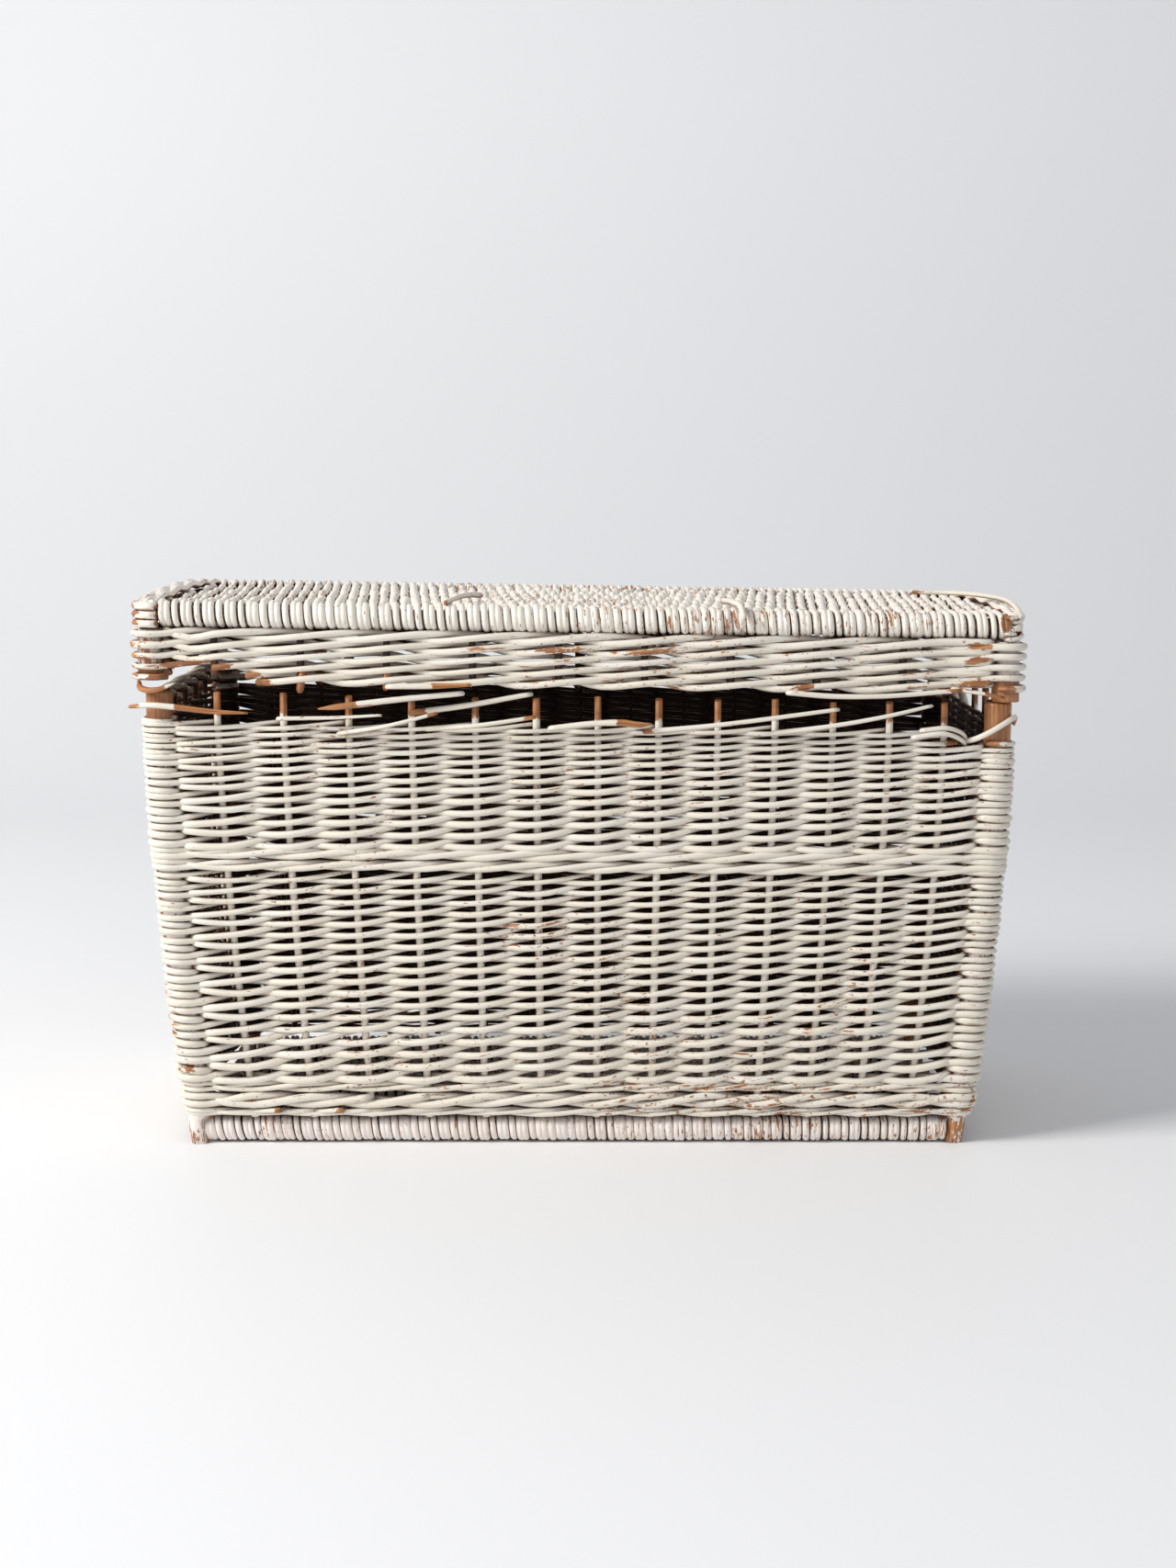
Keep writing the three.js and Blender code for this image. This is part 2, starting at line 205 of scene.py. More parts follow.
class Rods:
    """Round rods gathered into one mesh, each with its own tone and its own place in the textures.

    half is half the width and half the depth of the wall that the rods are part of.
    """

    POINT_VALUES = ("paint", "fresh", "clean_lit", "tone")
    PLACES_APART = 40

    def __init__(self, half=None):
        self.half = half
        self.rings = []
        self.quads = []
        self.caps = []
        self.place = []
        self.values = {key: [] for key in self.POINT_VALUES}
        self.count = 0

    def add(
        self, path, radius, sides=8, bare=(0, 0), out=None, paint=1.0, fresh=0.0, dirt_and_shade=1.0, cuts=(0.5, 0.5)
    ):
        """Adds one rod along path.

        bare is the length torn bare at each end, out the way that the paint came from, fresh how pale the
        bare wood is, the dirt and shade amount how much dirt and painted shade its crevices take, and cuts
        how slanted the two ends are.
        """
        tangent = np.gradient(path, axis=0)
        tangent /= np.maximum(np.linalg.norm(tangent, axis=1), 1e-9)[:, None]
        over = carried_normals(tangent)
        side = np.cross(tangent, over)
        angles = np.arange(sides) * 2 * math.pi / sides
        cos, sin = np.cos(angles), np.sin(angles)
        normal = cos[None, :, None] * side[:, None] + sin[None, :, None] * over[:, None]
        if out is None:
            depth, outward = depth_and_out(path, self.half)
        else:
            outward = np.broadcast_to(np.asarray(out, float), path.shape)
            depth = np.zeros(len(path))
        facing = (normal * outward[:, None]).sum(2)
        along = np.concatenate([[0], np.cumsum(np.linalg.norm(np.diff(path, axis=0), axis=1))])
        whole = np.ones(len(path))
        if bare[0]:
            whole = np.minimum(whole, np.clip((along - bare[0]) / TORN_FADE + 0.5, 0, 1))
        if bare[1]:
            whole = np.minimum(whole, np.clip((along[-1] - bare[1] - along) / TORN_FADE + 0.5, 0, 1))
        surface = path[:, None] + normal * radius[:, None, None]
        kept = whole[:, None] * (1 - loss_at(surface))
        point_depth = depth[:, None] + radius[:, None] * facing
        tone = random.random()
        shape = (len(path), sides)
        paint = np.broadcast_to(paint, len(path))[:, None]
        fresh = np.broadcast_to(fresh, len(path))[:, None]
        self.values["paint"].append(painted(point_depth, facing) * kept * paint)
        self.values["fresh"].append(np.maximum(np.broadcast_to(fresh, shape), 1 - kept))
        self.values["clean_lit"].append(1 - dirt_and_shade * (1 - clean_and_lit(point_depth, facing)))
        self.values["tone"].append(np.full(shape, tone))

        rings = settle(path)[:, None] + normal * radius[:, None, None]
        rings[0] -= tangent[0] * cos[:, None] * radius[0] * cuts[0]
        rings[-1] += tangent[-1] * cos[:, None] * radius[-1] * cuts[1]
        place = np.empty(rings.shape)
        place[..., 0] = along[:, None] * MM + tone * self.PLACES_APART + self.count * 1e-4
        place[..., 1] = cos * radius[:, None] * MM
        place[..., 2] = sin * radius[:, None] * MM
        first = self.count + np.arange(len(path) - 1)[:, None] * sides
        a = first + np.arange(sides)
        b = first + (np.arange(sides) + 1) % sides
        self.quads.append(np.stack([a, b, b + sides, a + sides], -1).reshape(-1, 4))
        self.caps.append(self.count + np.arange(sides)[::-1])
        self.caps.append(self.count + (len(path) - 1) * sides + np.arange(sides))
        self.rings.append(rings.reshape(-1, 3))
        self.place.append(place.reshape(-1, 3))
        self.count += len(path) * sides

    def add_left(self, path, radius, gone, **looks):
        """Adds what is left of a rod where gone is false, torn bare at each new end."""
        edges = np.flatnonzero(np.diff(np.concatenate([[1], gone.astype(int), [1]])))
        for start, end in edges.reshape(-1, 2):
            if end - start > 3:
                bare = (TORN if start else 0, TORN if end < len(path) else 0)
                self.add(path[start:end], radius[start:end], bare=bare, **looks)

    def build(self, name, material, body, slot, nodes=()):
        """Makes the mesh, in metres, and lets it ride on body, in place of the named nodes."""
        mesh = bpy.data.meshes.new(name)
        vertices = np.vstack(self.rings) * MM
        quads = np.vstack(self.quads)
        corner_counts = np.concatenate([np.full(len(quads), 4), [len(cap) for cap in self.caps]])
        corners = np.concatenate([quads.ravel(), *self.caps])
        mesh.vertices.add(len(vertices))
        mesh.vertices.foreach_set("co", vertices.ravel())
        mesh.loops.add(len(corners))
        mesh.loops.foreach_set("vertex_index", corners.astype(np.int32))
        mesh.polygons.add(len(corner_counts))
        starts = np.concatenate([[0], np.cumsum(corner_counts)[:-1]])
        mesh.polygons.foreach_set("loop_start", starts.astype(np.int32))
        mesh.polygons.foreach_set("use_smooth", np.arange(len(corner_counts)) < len(quads))
        mesh.update(calc_edges=True)
        for key in self.POINT_VALUES:
            layer = mesh.attributes.new(key, "FLOAT", "POINT")
            values = np.concatenate([part.ravel() for part in self.values[key]])
            layer.data.foreach_set("value", values.astype(np.float32))
        layer = mesh.attributes.new("rod_place", "FLOAT_VECTOR", "POINT")
        layer.data.foreach_set("vector", np.vstack(self.place).astype(np.float32).ravel())
        mesh.materials.append(material)
        piece = bpy.data.objects.new(name, mesh)
        bpy.context.scene.collection.objects.link(piece)
        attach(piece, body)
        if nodes:
            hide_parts(*nodes)
        return piece


# --- wear and damage

# Spots where the paint has come off: the middle, how far it reaches along X, Y and Z, and how much is lost.
LOST_PAINT = [
    ((-320, -158, 392), (9, 12, 12), 0.32),
    ((-322, -158, 366), (8, 12, 16), 0.12),
    ((-275, -166, 357), (34, 12, 4), 0.6),
    ((305, -166, 396), (4, 12, 12), 0.95),
    ((287, -168, 378), (11, 8, 4), 0.9),
    ((287, -168, 368), (10, 8, 4), 0.85),
    ((284, -168, 351), (20, 8, 6), 0.85),
    ((160, -168, 347), (12, 8, 4), 0.85),
    ((-318, -160, 100), (12, 20, 60), 0.22),
    ((-308, -160, 60), (9, 20, 7), 0.45),
    ((0, -168, 371), (150, 8, 4), 0.36),
    ((-310, -150, 9), (16, 16, 16), 0.42),
    ((306, -147, 9), (16, 16, 14), 0.36),
]

# The hole torn in the lid's wall beside its front left corner.
HOLE_MIDDLE = (-267.0, LID_BOTTOM - 3)
HOLE_REACH = 33.0
HOLE_HEIGHT = 13.0

# Where the lid's lowest strand is broken at the right, and up to what height.
BROKEN_STRAND = (272.0, 300.0)
BROKEN_STRAND_TOP = 350.0

# The body's top rods have come away right of, in front of and above these.
LOOSE_CORNER = (279.0, -118.0, 307.0)


def loss_at(points):
    """The share of paint lost at each point."""
    loss = np.zeros(points.shape[:-1])
    for middle, reach, strength in LOST_PAINT:
        away = np.linalg.norm((points - np.array(middle)) / np.array(reach), axis=-1)
        loss = np.maximum(loss, strength * np.clip(1.6 - 1.6 * away, 0, 1))
    return loss


def gone_from_lid(points):
    """Where the lid's wall has no rods: in the hole, at the broken strand, and round the hinge."""
    x, y, z = points.T
    hole_x, hole_z = HOLE_MIDDLE
    in_hole = ((x - hole_x) / HOLE_REACH) ** 2 + ((z - hole_z) / HOLE_HEIGHT) ** 2 < 1
    broken = (x > BROKEN_STRAND[0]) & (x < BROKEN_STRAND[1]) & (z < BROKEN_STRAND_TOP)
    over_rod = (np.abs(x) < HINGE_ROD_HALF) & (z < HINGE_Z + HINGE_ROD_RADIUS)
    in_notch = (np.abs(x[:, None] - LOOP_PLACES) < NOTCH_HALF).any(1)
    in_notch &= np.hypot(y - HINGE_Y, z - HINGE_Z) < NOTCH_RADIUS
    return ((y < 0) & (in_hole | broken)) | ((y > 0) & (over_rod | in_notch))


def gone_from_rim(points):
    """Where the top rods have come away from the front right post."""
    x, y, z = points.T
    return (x > LOOSE_CORNER[0]) & (y < LOOSE_CORNER[1]) & (z > LOOSE_CORNER[2])


def none_gone(points):
    return np.zeros(len(points), bool)


# --- places round a wall


class Place:
    """A stake or a corner post that the rods of a wall pass."""

    def __init__(self, x, y, out, post):
        self.x, self.y, self.post = x, y, post
        self.out = np.array(out, float)
        self.angle = math.degrees(math.atan2(out[1], out[0]))


def places_round(half, front, back, on_side):
    """The places of a wall, from the front left post to the right, round the back and forward again.

    front and back are the stakes' X from left to right, and on_side is how many stand along each side.
    """
    post = half - WALL
    stake = half - HALF_WALL
    side = np.linspace(-1, 1, on_side + 2)[1:-1] * post[1]
    d = math.sqrt(0.5)
    return [
        Place(-post[0], -post[1], (-d, -d), True),
        *(Place(x, -stake[1], (0, -1), False) for x in front),
        Place(post[0], -post[1], (d, -d), True),
        *(Place(stake[0], y, (1, 0), False) for y in side),
        Place(post[0], post[1], (d, d), True),
        *(Place(x, stake[1], (0, 1), False) for x in back[::-1]),
        Place(-post[0], post[1], (-d, d), True),
        *(Place(-stake[0], y, (-1, 0), False) for y in side[::-1]),
    ]


ALONG = np.linspace(-1, 1, 13)
BODY_PLACES = places_round(
    RIM,
    FRONT_STAKE_MIDDLE + STAKE_REACH * ALONG - STAKE_BUNCHING * ALONG * ALONG,
    STAKE_REACH * ALONG,
    5,
)
LID_STAKE_PITCH = 61.7
LID_FRONT_SHIFT = -14.5
LID_STAKES = LID_FRONT_SHIFT + LID_STAKE_PITCH * np.arange(-4, 5)
LID_PLACES = places_round(LID, LID_STAKES, LID_STAKES - LID_FRONT_SHIFT, 4)

# How far round a post, to each side, a rod lies against it outside and inside.
OUTSIDE_TURN = 72
INSIDE_TURN = 70


def pass_place(place, side, z, radius, reach, wrap=0.0):
    """Points of a rod as it passes a place, outside (side 1) or inside (-1).

    wrap is the height that the rod climbs in one more full turn round a post, on an inside pass.
    """
    if not place.post:
        x, y = np.array([place.x, place.y]) + place.out * side * reach
        return [(x, y, z)]
    ring = POST_RADIUS + radius
    if side > 0:
        turn = np.linspace(-OUTSIDE_TURN, OUTSIDE_TURN, 6)
        climb = np.zeros(6)
    else:
        count = 17 if wrap else 6
        last = INSIDE_TURN + 360 if wrap else INSIDE_TURN
        turn = 180 + np.linspace(INSIDE_TURN, -last, count)
        climb = np.linspace(-wrap / 2, wrap / 2, count)
    angles = np.radians(turn + place.angle)
    return [
        (place.x + ring * math.cos(a), place.y + ring * math.sin(a), z + c)
        for a, c in zip(angles, climb)
    ]


# --- woven courses

# Siding at a post, for each four levels: how far above its level a rod lies, and whether it goes round the
# post once more. The fourth stays inside, so that three turns share the height of four levels.
POST_TURNS = ((0.0, False), (0.33, True), (0.67, False), (0.0, False))

# How much thicker siding is at the posts, and at the side and back stakes, than at the front's.
POST_GIRTH = 1.06
SIDE_GIRTH = 1.22

# How many levels siding slips down in front of a stake and up behind it, on the front and elsewhere.
FRONT_SLIP = 0.37
SIDE_SLIP = 0.2

# The share of a stake's radius that, with a rod's own, is between the middles of the two where they pass.
SIDING_REACH = 0.72
WALE_REACH = 0.68

# The level, just below the lowest, at which siding starts.
FIRST_LEVEL = -0.35

# How much thicker a wale is round the sides and back, by its number of strands.
WALE_SIDE_GIRTH = {2: 1.3, 3: 1.08}

# As shares of a round's height: how far off its middle a pair crosses, and lies above it behind a stake.
PAIR_TWIST = 0.34
PAIR_BEHIND = 0.42

# Each siding's number of levels, the height of its lowest, and the rods' radius at the butt and at the tip.
LOWER_SIDING = {"levels": 36, "low_pitch": 4.95, "thick": 2.95, "thin": 1.95}
UPPER_SIDING = {"levels": 26, "low_pitch": 4.6, "thick": 2.65, "thin": 1.6}

# Each wale's rounds, from the bottom up: the height and the rods' radius.
BOTTOM_WALE = [(6.5, 1.8), (12, 2.75), (8.5, 2.05)]
MIDDLE_WALE = [(8.5, 2.45)] * 2
LID_WALE = [((LID_WALL_TOP - LID_BOTTOM) / 5, 2.5)] * 5


def siding(places, half, bottom, top, levels, low_pitch, thick, thin, gone=none_gone):
    """French randing: tapering rods laid side by side, each in front of one place and behind the next.

    As many rods as places start at the bottom, and each rises a level from place to place.
    """
    rods = Rods(half)
    first = bottom + thick
    last = top - thin
    high_pitch = 2 * (last - first) / (levels - 1) - low_pitch

    def height(level):
        return first + low_pitch * level + (high_pitch - low_pitch) * level * level / (2 * (levels - 1))

    for i in range(PLACES):
        girth = 1 + random.normal(0, 0.05)
        points, radii = [], []
        for level in range(-1, levels):
            index = (i + level) % PLACES
            place = places[index]
            in_front = index <= FRONT_RIGHT
            share = max(level, 0) / (levels - 1)
            radius = (thick + (thin - thick) * share) * girth
            side = 1 if level % 2 == 0 else -1
            wrap = 0
            if place.post:
                radius *= POST_GIRTH
                rise, full_turn = POST_TURNS[level % 4]
                if full_turn:
                    wrap = 4 / 3 * (low_pitch + (high_pitch - low_pitch) * share)
            else:
                radius *= 1.0 if in_front else SIDE_GIRTH
                rise = -side * (FRONT_SLIP if in_front else SIDE_SLIP)
            z = height(max(level, FIRST_LEVEL) + rise) + random.normal(0, 0.45 if place.post else 0.3)
            reach = SIDING_REACH * STAKE_RADIUS + radius + random.normal(0, 0.25)
            new = pass_place(place, side, z, radius, reach, wrap)
            points += new
            radii += [radius] * len(new)
        start = 4 if places[(i - 1) % PLACES].post else 0
        path, values = smooth_path(points[start:], radii[start:], 7.5)
        radius = values[:, 0] * (1 + 0.03 * np.sin(np.arange(len(path)) * 0.9 + i))
        rods.add_left(path, radius, gone(path))
    return rods


def wale(places, half, bottom, rounds, strands, start=22, gone=none_gone):
    """Waling: in each round the strands twist round the places, each behind one and in front of the rest.

    rounds gives each round's height and rod radius. Two strands are pairing.
    """
    rods = Rods(half)
    wall_top = bottom + sum(step for step, _ in rounds)
    for j, (step, radius) in enumerate(rounds):
        middle = bottom + step / 2
        bottom += step
        lift = step / 4 if strands == 3 else 0
        behind = min(PAIR_BEHIND * step, wall_top + 1 - radius - middle) if strands == 2 else 0
        for strand in range(strands):
            girth = 1 + random.normal(0, 0.06)
            points, radii = [], []
            for m in range(len(places) + 2):
                place = places[(start + j + strand + m) % len(places)]
                phase = m % strands
                in_front = place.y < 0 and abs(place.x) < half[0] - HALF_WALL - 1
                stouter = 1.0 if in_front else WALE_SIDE_GIRTH[strands]
                r = radius * girth * (1 + random.normal(0, 0.04)) * stouter
                z = middle + (behind, -lift, lift)[phase] + random.normal(0, 0.3)
                new = pass_place(place, -1 if phase == 0 else 1, z, r, WALE_REACH * STAKE_RADIUS + r)
                if strands == 2 and points:
                    half_way = (np.array(points[-1]) + np.array(new[0])) / 2
                    half_way[2] = middle + (-1 if phase == 1 else 1) * PAIR_TWIST * step
                    points.append(tuple(half_way))
                    radii.append(r)
                points += new
                radii += [r] * len(new)
            path, values = smooth_path(points, radii, 8)
            rods.add_left(path, values[:, 0], gone(path))
    return rods


# The way of a border rod: places ahead of its own stake, reach outwards, and height above the siding.
BORDER_WAY = (
    (0.0, 0.0, -3.0), (0.12, -1.0, 4.0), (1.0, -5.5, 12.5), (1.5, -0.5, 15.0), (2.0, 5.2, 14.0),
    (3.0, 5.6, 8.0), (3.5, 0.5, 4.0), (4.0, -4.5, 4.5),
)
BORDER_FIRST = 18
BORDER_ROD_RADIUS = 3.2
BORDER_POST_RING = 12.6
POST_TO_WALL_LINE = 9.9


def border(places, half, bottom):
    """The stakes bent over to the right: each goes behind one place, in front of two, and in again."""
    rods = Rods(half)
    for s in range(BORDER_FIRST, PLACES):
        points = []
        for ahead, reach, rise in BORDER_WAY:
            if s + ahead > PLACES - 0.3:
                break
            near, share = divmod(s + ahead, 1)
            a, b = places[int(near) % PLACES], places[(int(near) + 1) % PLACES]
            if a.post and share < 0.4:
                turns = (-45, 0, 45) if reach > 0 else (230, 180, 130)
                for angle in np.radians(np.array(turns) + a.angle):
                    x = a.x + BORDER_POST_RING * math.cos(angle)
                    y = a.y + BORDER_POST_RING * math.sin(angle)
                    points.append((x, y, bottom + rise))
                continue
            centre_a = np.array([a.x, a.y]) + (a.out * POST_TO_WALL_LINE if a.post else 0)
            centre_b = np.array([b.x, b.y]) + (b.out * POST_TO_WALL_LINE if b.post else 0)
            out = a.out * (1 - share) + b.out * share
            x, y = centre_a + (centre_b - centre_a) * share + out / np.linalg.norm(out) * reach
            points.append((x, y, bottom + rise + random.normal(0, 0.3)))
        if len(points) > 3:
            path, radius = smooth_path(points, [BORDER_ROD_RADIUS] * len(points), 5)
            _, out = depth_and_out(path, half)
            rods.add(path, radius[:, 0], out=0.25 * out + 0.95 * UP, dirt_and_shade=0.3)
    return rods


# --- base and lid panels

PASS_PITCH = 3.95
PASSES_PER_ROD = 4
HALF_PANEL = 10.4

# A pass's radius, how much thinner a rod's next pass is, how close a pass lies on a stick, and how much
# stouter it is over one, under one, and (between two values) round an outer one.
PASS_RADIUS = 2.35
PASS_TAPER = 0.1
PASS_BITE = 0.8
OVER_GIRTH = 1.4
UNDER_GIRTH = 0.9
TURN_GIRTH = (1.12, 1.38)

# The angle from straight out at which a turn starts and ends, and its width in passes, once and twice round.
TURN_LAP = 80
TURN_WIDTH = (0.5, 1.33)


def panel(half_depth, middle, first_x, last_x):
    """Weavers that cross the long sticks, and turn round the outer two once or twice by turns."""
    rods = Rods()
    outer_y = half_depth - STICK_INSET
    sticks = np.linspace(-outer_y, outer_y, INNER_STICKS + 2)
    count = int((last_x - first_x) / PASS_PITCH)
    strand = []
    girth = 1.0
    for n in range(count):
        x = first_x + (n + 0.5) * PASS_PITCH
        forward = n % 2 == 0
        if n % PASSES_PER_ROD == 0:
            girth = 1 + random.normal(0, 0.1)
            strand = strand[-1:]
        radius = (PASS_RADIUS - PASS_TAPER * (n % PASSES_PER_ROD)) * girth
        order = range(1, INNER_STICKS + 1) if forward else range(INNER_STICKS, 0, -1)
        for k in order:
            side = 1 if (n + k) % 2 else -1
            stout = radius * (OVER_GIRTH if side > 0 else UNDER_GIRTH)
            z = middle + side * (INNER_STICK + PASS_BITE * stout) + random.normal(0, 0.4)
            strand.append((x + random.normal(0, 0.5), sticks[k], z, stout, 0.0, 1.0))
        if n < count - 1:
            edge = 1 if forward else -1
            twice = (n // 2 + (0 if forward else 1)) % 2 == 1
            outer_stick = INNER_STICKS + 1 if forward else 0
            start_side = -1 if (n + outer_stick) % 2 == 0 else 1
            steps = 21 if twice else 9
            last = TURN_LAP + 360 if twice else TURN_LAP
            turn = np.radians(np.linspace(TURN_LAP, -last, steps)) * start_side
            spread = np.linspace(-0.5, 0.5, steps) * PASS_PITCH * TURN_WIDTH[twice]
            stout = radius * random.uniform(*TURN_GIRTH)
            ring = HALF_PANEL - stout - random.uniform(0, 1.0)
            for angle, along in zip(turn, spread):
                out_y, out_z = edge * math.cos(angle), math.sin(angle)
                strand.append((
                    x + PASS_PITCH / 2 + along, edge * outer_y + ring * out_y, middle + ring * out_z,
                    stout, out_y, out_z,
                ))
        if n % PASSES_PER_ROD == PASSES_PER_ROD - 1 or n == count - 1:
            rows = np.array(strand)
            path, values = smooth_path(rows[:, :3], rows[:, 3:], 7)
            room = HALF_PANEL - values[:, 0]
            path[:, 2] = np.clip(path[:, 2], middle - room, middle + room)
            out = np.column_stack([np.zeros(len(path)), values[:, 1:]])
            rods.add(path, values[:, 0], out=out, dirt_and_shade=0.12)
    return rods


def straight_sticks(half_depth, middle, outer_half, inner_half):
    """The long sticks of the base or of the lid."""
    rods = Rods()
    outer_y = half_depth - STICK_INSET
    for k, y in enumerate(np.linspace(-outer_y, outer_y, INNER_STICKS + 2)):
        outer = k in (0, INNER_STICKS + 1)
        reach = outer_half if outer else inner_half
        x = np.linspace(-reach, reach, 30)
        path = np.column_stack([x, np.full(30, y), np.full(30, middle)])
        radius = np.full(30, OUTER_STICK if outer else INNER_STICK)
        rods.add(path, radius, sides=12, out=UP, paint=0.2, fresh=0.3, cuts=(0, 0))
    return rods


# Each end of the lid: its side, where its rods start, where the rods that fill it up start, how far two
# strands twist round each other, and the rods' radius.
LID_ENDS = ((-1, 302.0, 306.0, 0.0, 3.0), (1, 309.0, 312.6, 2.3, 2.1))
END_INSET = 3.2
END_CORNER = 11.0
END_COURSES = 3
END_PITCH = 6.0
END_LOWEST = TOP - 17.5
END_ARCH = 2.5
TWIST_RATE = 0.24
END_MIDDLE = TOP - 14
END_MIDDLE_INSET = 8
FILLER_PITCH = 4.0
FILLER_RADIUS = 2.8
FILLER_HEIGHT = TOP - 4.4
FILLER_ARCH = 5.0


def round_end(half_depth, edge, start):
    """X and Y of a rod that comes from start, turns a corner, goes along the end and turns back again."""
    corner = np.radians(np.linspace(-90, 0, 5))
    arc_x = edge - END_CORNER + END_CORNER * np.cos(corner)
    arc_y = -half_depth + END_CORNER + END_CORNER * np.sin(corner)
    along = np.linspace(-half_depth + END_CORNER, half_depth - END_CORNER, 60)[1:-1]
    x = np.concatenate([[start], arc_x, np.full(len(along), edge), arc_x[::-1], [start]])
    y = np.concatenate([[arc_y[0]], arc_y, along, -arc_y[::-1], [-arc_y[0]]])
    return x, y


def lid_end_rods():
    """Rods that close the lid's ends: smooth ones on the left, twisted in pairs on the right."""
    rods = Rods()
    half_depth = LID[1] - END_INSET
    for side, start, fill_from, twist, radius in LID_ENDS:
        edge = LID[0] - END_INSET - twist
        x, y = round_end(half_depth, edge, start)
        bulge = np.clip(1 - (y / half_depth) ** 2, 0, 1)
        for k in range(END_COURSES):
            z = END_LOWEST + END_PITCH * k + END_ARCH * k * bulge
            for strand in range(2 if twist else 1):
                phase = y * TWIST_RATE + strand * math.pi + k
                path = np.column_stack([
                    side * (x + twist * np.cos(phase)), y, z + twist * np.sin(phase),
                ])
                path, _ = smooth_path(path, np.zeros(len(path)), 5)
                reach = half_depth - END_MIDDLE_INSET
                inner = np.column_stack([
                    np.full(len(path), side * (edge - END_MIDDLE_INSET)),
                    np.clip(path[:, 1], -reach, reach),
                    np.full(len(path), END_MIDDLE),
                ])
                out = path - inner
                out /= np.linalg.norm(out, axis=1)[:, None]
                rods.add(path, np.full(len(path), radius), out=out)
        y = np.linspace(-half_depth + 2, half_depth - 2, 40)
        arch = FILLER_ARCH * np.clip(1 - (y / half_depth) ** 2, 0, 1)
        for x in np.arange(fill_from, edge - 3, FILLER_PITCH):
            waves = np.cos(y * 0.1 + x)
            path = np.column_stack([np.full(40, side * x), y, FILLER_HEIGHT + arch + waves])
            rods.add(path, np.full(40, FILLER_RADIUS), out=UP, dirt_and_shade=0.4)
    return rods


# --- stakes and posts

# The heights between which posts are bare, and how far the left and the right feet stand out.
BARE_POST = (RIM_TOP - 30, LID_BOTTOM + 7)
LEFT_FOOT_SHIFT = 5.0
RIGHT_FOOT_SHIFT = 1.5


def stakes(places, half, bottom, tops, paint=1.0):
    """Upright stakes. tops gives a place's top, and the bare length there."""
    rods = Rods(half)
    for i, place in enumerate(places):
        if place.post:
            continue
        top, bare = tops(i)
        z = np.append(np.arange(bottom, top - 3, 9.0), top)
        lean = random.normal(0, 0.4, 2)
        share = (z - bottom) / (top - bottom)
        path = np.column_stack([place.x + lean[0] * share, place.y + lean[1] * share, z])
        radius = STAKE_RADIUS * (1 + random.normal(0, 0.05)) * (1.04 - 0.1 * share)
        out = (*place.out[:2], 0)
        slant = random.uniform(-0.5, 0.5)
        rods.add(path, radius, sides=10, bare=(0, bare), out=out, paint=paint, cuts=(0, slant))
    return rods


def posts(places, half, bottom, front_top, back_top, foot=False, torn_left=0.0):
    """Corner posts, bare where body and lid meet, and narrowed at the foot. One with no top is left out.

    torn_left is how much shorter the left ones are, at their foot.
    """
    rods = Rods(half)
    for i, place in enumerate(place for place in places if place.post):
        top = front_top if place.y < 0 else back_top
        if top is None:
            continue
        start = bottom + (torn_left if place.x < 0 else 0)
        z = np.concatenate([np.arange(start, top - 4, 6.0), [top - 2.5, top - 0.8, top]])
        radius = np.full(len(z), POST_RADIUS) * (1 + 0.012 * np.sin(z * 0.11 + i))
        radius[-2:] *= (0.95, 0.84)
        shift = np.zeros(len(z))
        paint = np.where((z > BARE_POST[0]) & (z < BARE_POST[1]), 0.0, 0.95)
        if foot:
            low = z < BASE_TOP + 1
            radius = np.where(low, FOOT_RADIUS + z * 0.03, radius)
            shift = np.where(low, LEFT_FOOT_SHIFT if place.x < 0 else RIGHT_FOOT_SHIFT, 0.0)
        x = place.x + np.sign(place.x) * shift
        y = place.y + np.sign(place.y) * shift
        path = np.column_stack([x, y, z])
        out = (*place.out[:2], 0)
        rods.add(path, radius, sides=20, out=out, paint=paint, fresh=1.0, cuts=(0, 0.08))
    return rods


# --- loose and broken rods

